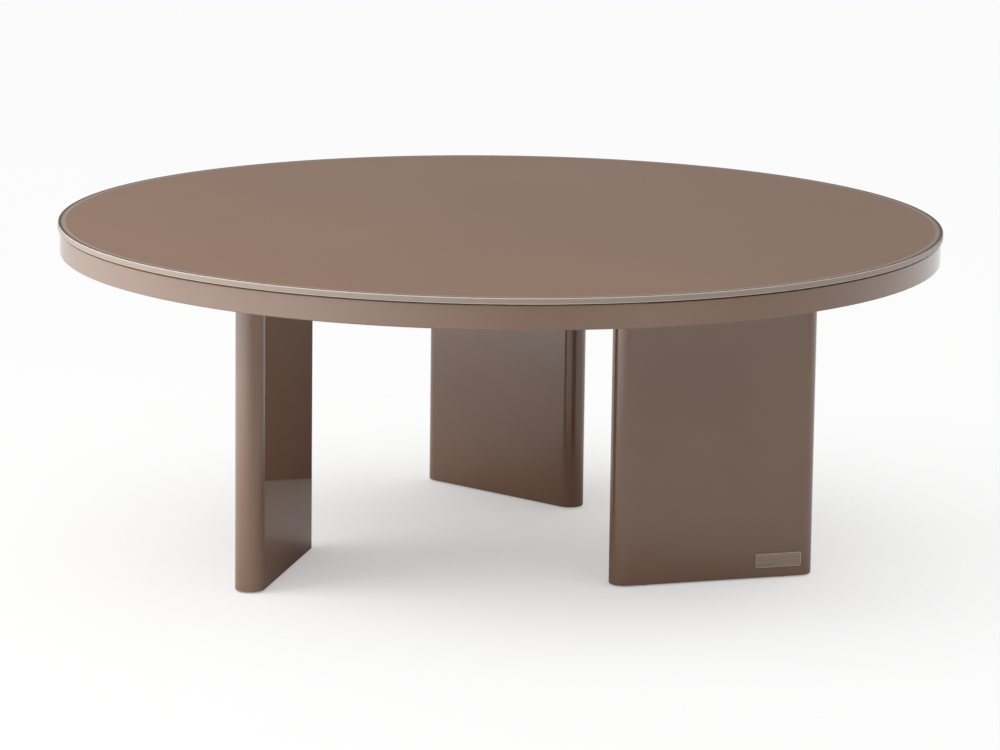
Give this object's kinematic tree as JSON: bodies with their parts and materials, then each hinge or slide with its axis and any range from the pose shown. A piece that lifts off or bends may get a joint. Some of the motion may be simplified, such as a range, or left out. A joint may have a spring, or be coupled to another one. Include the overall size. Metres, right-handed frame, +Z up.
{
  "type": "round cocktail table",
  "caption": "Round cocktail table: back-painted glass disc over a lacquered panel, carried by slab legs with half-round ends that stand as a pinwheel.",
  "frame": {"origin": "on the floor under the centre of the round top", "axes": "+Z up; +X along the front leg, towards its outer end; +Y from the front leg to the back"},
  "size_m": [1.1998, 1.2, 0.454],
  "materials": {
    "painted_glass": "polished glass, painted taupe on its underside",
    "lacquer": "semi-gloss taupe lacquer on a wood-fibre panel",
    "silicone": "clear silicone",
    "zinc_steel": "zinc plated",
    "insert_brass": "turned",
    "beech": "turned beech, raw",
    "nylon": "moulded nylon",
    "plate_metal": "brushed, bronze toned, bare"
  },
  "bodies": {
    "root": {"glass_pads": "silicone", "glass_top": "painted_glass", "leg_back": "lacquer", "leg_back_bolts": "zinc_steel", "leg_back_dowels": "beech", "leg_back_glide_screws": "zinc_steel", "leg_back_glides": "nylon", "leg_back_inserts": "insert_brass", "leg_back_washers": "zinc_steel", "leg_front": "lacquer", "leg_front_bolts": "zinc_steel", "leg_front_dowels": "beech", "leg_front_glide_screws": "zinc_steel", "leg_front_glides": "nylon", "leg_front_inserts": "insert_brass", "leg_front_washers": "zinc_steel", "leg_left": "lacquer", "leg_left_bolts": "zinc_steel", "leg_left_dowels": "beech", "leg_left_glide_screws": "zinc_steel", "leg_left_glides": "nylon", "leg_left_inserts": "insert_brass", "leg_left_washers": "zinc_steel", "name_plate": "plate_metal", "top_panel": "lacquer"}
  },
  "joints": []
}
